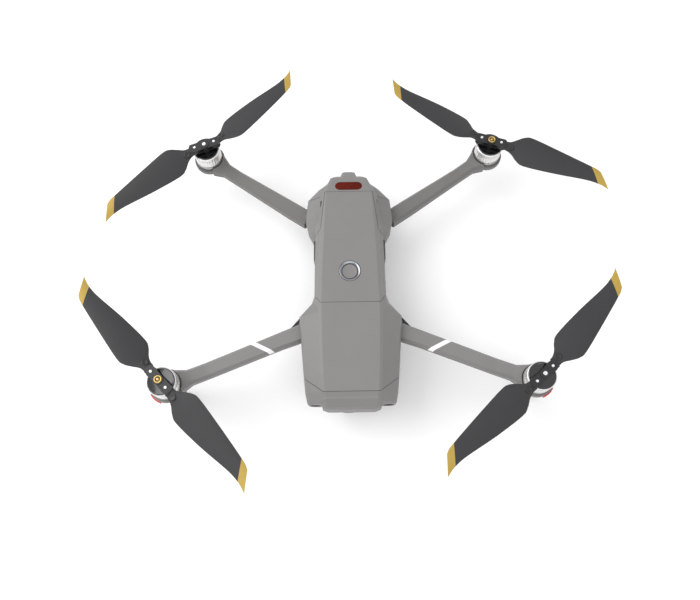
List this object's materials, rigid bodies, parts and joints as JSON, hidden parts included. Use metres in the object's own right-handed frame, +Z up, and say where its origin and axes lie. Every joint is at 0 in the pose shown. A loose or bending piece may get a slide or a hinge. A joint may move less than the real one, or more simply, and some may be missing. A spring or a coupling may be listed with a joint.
{
  "type": "folding camera quadcopter",
  "caption": "Folding camera quadcopter open for flight: slim body with lift-out battery, four hinged arms, motors with folding blades and a camera gimbal under the nose.",
  "frame": {"origin": "centre of the flat belly, on its underside", "axes": "+Z up, +Y to the tail, +X to the right seen from in front of the nose; the nose faces -Y"},
  "size_m": [0.4517, 0.3837, 0.0866],
  "materials": {
    "grey_shell": "fine matte coat",
    "dark_grey_plastic": "matte",
    "motor_base_metal": "turned",
    "motor_bell_metal": "satin, black cap",
    "hub_plastic": "satin black",
    "blade_plastic": "satin, gold tip",
    "pin_steel": "ground",
    "lens_glass": "polished dark",
    "infrared_window": "dark red window",
    "red_lamp": "red lens",
    "ring_metal": "polished bevel",
    "circuit_board": "solder mask",
    "heat_sink_metal": "cast",
    "black_plastic": "matte"
  },
  "bodies": {
    "airframe": {"lower_shell": "grey_shell", "upper_shell": "grey_shell", "nose_fascia": "grey_shell", "tail_cap": "grey_shell", "top_ir_window": "infrared_window", "rear_vision_window": "lens_glass", "front_vision_left": "lens_glass", "front_vision_right": "lens_glass", "belly_cover": "dark_grey_plastic", "main_board": "circuit_board", "heat_sink": "heat_sink_metal", "gimbal_plate": "black_plastic", "downward_sensor_panel": "black_plastic", "front_arm_pin_left": "pin_steel", "front_arm_pin_right": "pin_steel", "rear_arm_pin_left": "pin_steel", "rear_arm_pin_right": "pin_steel", "tail_foot_left": "dark_grey_plastic", "tail_foot_right": "dark_grey_plastic"},
    "battery": {"battery_case": "grey_shell", "battery_cover": "grey_shell", "power_button_ring": "ring_metal"},
    "power_button": {"power_button": "grey_shell"},
    "battery_latch_left": {"battery_latch_left": "dark_grey_plastic"},
    "battery_latch_right": {"battery_latch_right": "dark_grey_plastic"},
    "cooling_fan": {"cooling_fan": "black_plastic"},
    "port_cover_left": {"port_cover_left": "dark_grey_plastic"},
    "port_cover_right": {"port_cover_right": "dark_grey_plastic"},
    "gimbal_yaw": {"gimbal_yaw_arm": "dark_grey_plastic"},
    "gimbal_roll": {"gimbal_roll_arm": "dark_grey_plastic"},
    "camera": {"camera_body": "grey_shell", "camera_lens": "lens_glass"},
    "front_arm_left": {"front_arm_left": "grey_shell", "front_leg_left": "grey_shell", "front_led_left": "red_lamp", "front_left_motor_base": "motor_base_metal"},
    "front_arm_right": {"front_arm_right": "grey_shell", "front_leg_right": "grey_shell", "front_led_right": "red_lamp", "front_right_motor_base": "motor_base_metal"},
    "rear_arm_left": {"rear_arm_left": "grey_shell", "rear_left_motor_base": "motor_base_metal"},
    "rear_arm_right": {"rear_arm_right": "grey_shell", "rear_right_motor_base": "motor_base_metal"},
    "front_left_rotor": {"front_left_motor_bell": "motor_bell_metal", "front_left_prop_hub": "hub_plastic"},
    "front_left_blade_a": {"front_left_blade_a": "blade_plastic"},
    "front_left_blade_b": {"front_left_blade_b": "blade_plastic"},
    "front_right_rotor": {"front_right_motor_bell": "motor_bell_metal", "front_right_prop_hub": "hub_plastic"},
    "front_right_blade_a": {"front_right_blade_a": "blade_plastic"},
    "front_right_blade_b": {"front_right_blade_b": "blade_plastic"},
    "rear_left_rotor": {"rear_left_motor_bell": "motor_bell_metal", "rear_left_prop_hub": "hub_plastic"},
    "rear_left_blade_a": {"rear_left_blade_a": "blade_plastic"},
    "rear_left_blade_b": {"rear_left_blade_b": "blade_plastic"},
    "rear_right_rotor": {"rear_right_motor_bell": "motor_bell_metal", "rear_right_prop_hub": "hub_plastic"},
    "rear_right_blade_a": {"rear_right_blade_a": "blade_plastic"},
    "rear_right_blade_b": {"rear_right_blade_b": "blade_plastic"}
  },
  "joints": [
    {"name": "battery_lift", "type": "slide", "parent": "airframe", "child": "battery", "axis": [0, 0, 1], "range_m": [0, 0.045]},
    {"name": "power_button_press", "type": "slide", "parent": "battery", "child": "power_button", "axis": [0, 0, -1], "range_m": [0, 0.0006], "stiffness_N_per_m": 900, "springref_m": -0.0003},
    {"name": "battery_latch_left_press", "type": "slide", "parent": "battery", "child": "battery_latch_left", "axis": [1, 0, 0], "range_m": [0, 0.0012], "stiffness_N_per_m": 1200, "springref_m": -0.0004},
    {"name": "battery_latch_right_press", "type": "slide", "parent": "battery", "child": "battery_latch_right", "axis": [-1, 0, 0], "range_m": [0, 0.0012], "stiffness_N_per_m": 1200, "springref_m": -0.0004},
    {"name": "cooling_fan_spin", "type": "hinge", "parent": "airframe", "child": "cooling_fan", "pos_m": [0, 0.026, 0.008], "axis": [0, 0, 1], "continuous": true},
    {"name": "port_cover_left_open", "type": "hinge", "parent": "airframe", "child": "port_cover_left", "pos_m": [-0.0287, -0.0083, 0.013], "axis": [0, 0, 1], "range_deg": [-100, 0]},
    {"name": "front_arm_left_fold", "type": "hinge", "parent": "airframe", "child": "front_arm_left", "pos_m": [-0.035, -0.061, 0.0325], "axis": [0, 0, -1], "range_deg": [0, 105]},
    {"name": "port_cover_right_open", "type": "hinge", "parent": "airframe", "child": "port_cover_right", "pos_m": [0.0287, -0.0083, 0.013], "axis": [0, 0, -1], "range_deg": [-100, 0]},
    {"name": "front_arm_right_fold", "type": "hinge", "parent": "airframe", "child": "front_arm_right", "pos_m": [0.035, -0.061, 0.0325], "axis": [0, 0, 1], "range_deg": [0, 105]},
    {"name": "rear_arm_left_fold", "type": "hinge", "parent": "airframe", "child": "rear_arm_left", "pos_m": [-0.037, 0.045, 0.018], "axis": [-0.905, -0.4155, -0.0911], "range_deg": [0, 160]},
    {"name": "rear_arm_right_fold", "type": "hinge", "parent": "airframe", "child": "rear_arm_right", "pos_m": [0.037, 0.045, 0.018], "axis": [-0.905, 0.4155, 0.0911], "range_deg": [0, 160]},
    {"name": "front_left_motor_spin", "type": "hinge", "parent": "front_arm_left", "child": "front_left_rotor", "pos_m": [-0.1515, -0.1105, 0.063], "axis": [0, 0, 1], "continuous": true},
    {"name": "front_left_blade_a_swing", "type": "hinge", "parent": "front_left_rotor", "child": "front_left_blade_a", "pos_m": [-0.15775, -0.10403, 0.063], "axis": [0, 0, 1], "range_deg": [-60, 60]},
    {"name": "front_left_blade_b_swing", "type": "hinge", "parent": "front_left_rotor", "child": "front_left_blade_b", "pos_m": [-0.14525, -0.11697, 0.063], "axis": [0, 0, 1], "range_deg": [-60, 60]},
    {"name": "front_right_motor_spin", "type": "hinge", "parent": "front_arm_right", "child": "front_right_rotor", "pos_m": [0.1515, -0.1105, 0.063], "axis": [0, 0, 1], "continuous": true},
    {"name": "front_right_blade_a_swing", "type": "hinge", "parent": "front_right_rotor", "child": "front_right_blade_a", "pos_m": [0.15824, -0.10454, 0.063], "axis": [0, 0, -1], "range_deg": [-60, 60]},
    {"name": "front_right_blade_b_swing", "type": "hinge", "parent": "front_right_rotor", "child": "front_right_blade_b", "pos_m": [0.14476, -0.11646, 0.063], "axis": [0, 0, -1], "range_deg": [-60, 60]},
    {"name": "rear_left_motor_spin", "type": "hinge", "parent": "rear_arm_left", "child": "rear_left_rotor", "pos_m": [-0.1296, 0.1062, 0.0496], "axis": [0, 0, 1], "continuous": true},
    {"name": "rear_left_blade_a_swing", "type": "hinge", "parent": "rear_left_rotor", "child": "rear_left_blade_a", "pos_m": [-0.12114, 0.10928, 0.0496], "axis": [0, 0, -1], "range_deg": [-60, 60]},
    {"name": "rear_left_blade_b_swing", "type": "hinge", "parent": "rear_left_rotor", "child": "rear_left_blade_b", "pos_m": [-0.13806, 0.10312, 0.0496], "axis": [0, 0, -1], "range_deg": [-60, 60]},
    {"name": "rear_right_motor_spin", "type": "hinge", "parent": "rear_arm_right", "child": "rear_right_rotor", "pos_m": [0.1296, 0.1062, 0.0496], "axis": [0, 0, 1], "continuous": true},
    {"name": "rear_right_blade_a_swing", "type": "hinge", "parent": "rear_right_rotor", "child": "rear_right_blade_a", "pos_m": [0.12102, 0.10891, 0.0496], "axis": [0, 0, -1], "range_deg": [-60, 60]},
    {"name": "rear_right_blade_b_swing", "type": "hinge", "parent": "rear_right_rotor", "child": "rear_right_blade_b", "pos_m": [0.13818, 0.10349, 0.0496], "axis": [0, 0, -1], "range_deg": [-60, 60]},
    {"name": "gimbal_yaw", "type": "hinge", "parent": "airframe", "child": "gimbal_yaw", "pos_m": [0, -0.096, 0.016], "axis": [0, 0, 1], "range_deg": [-40, 40]},
    {"name": "gimbal_roll", "type": "hinge", "parent": "gimbal_yaw", "child": "gimbal_roll", "pos_m": [0, -0.096, 0.004], "axis": [0, -1, 0], "range_deg": [-20, 20]},
    {"name": "camera_tilt", "type": "hinge", "parent": "gimbal_roll", "child": "camera", "pos_m": [0.022, -0.1153, 0.004], "axis": [-1, 0, 0], "range_deg": [-90, 25]}
  ],
  "couplings": [
    {"joint": "rear_arm_left_fold", "follows": "front_arm_left_fold", "ratio": 1.5238},
    {"joint": "rear_arm_right_fold", "follows": "front_arm_right_fold", "ratio": 1.5238}
  ]
}
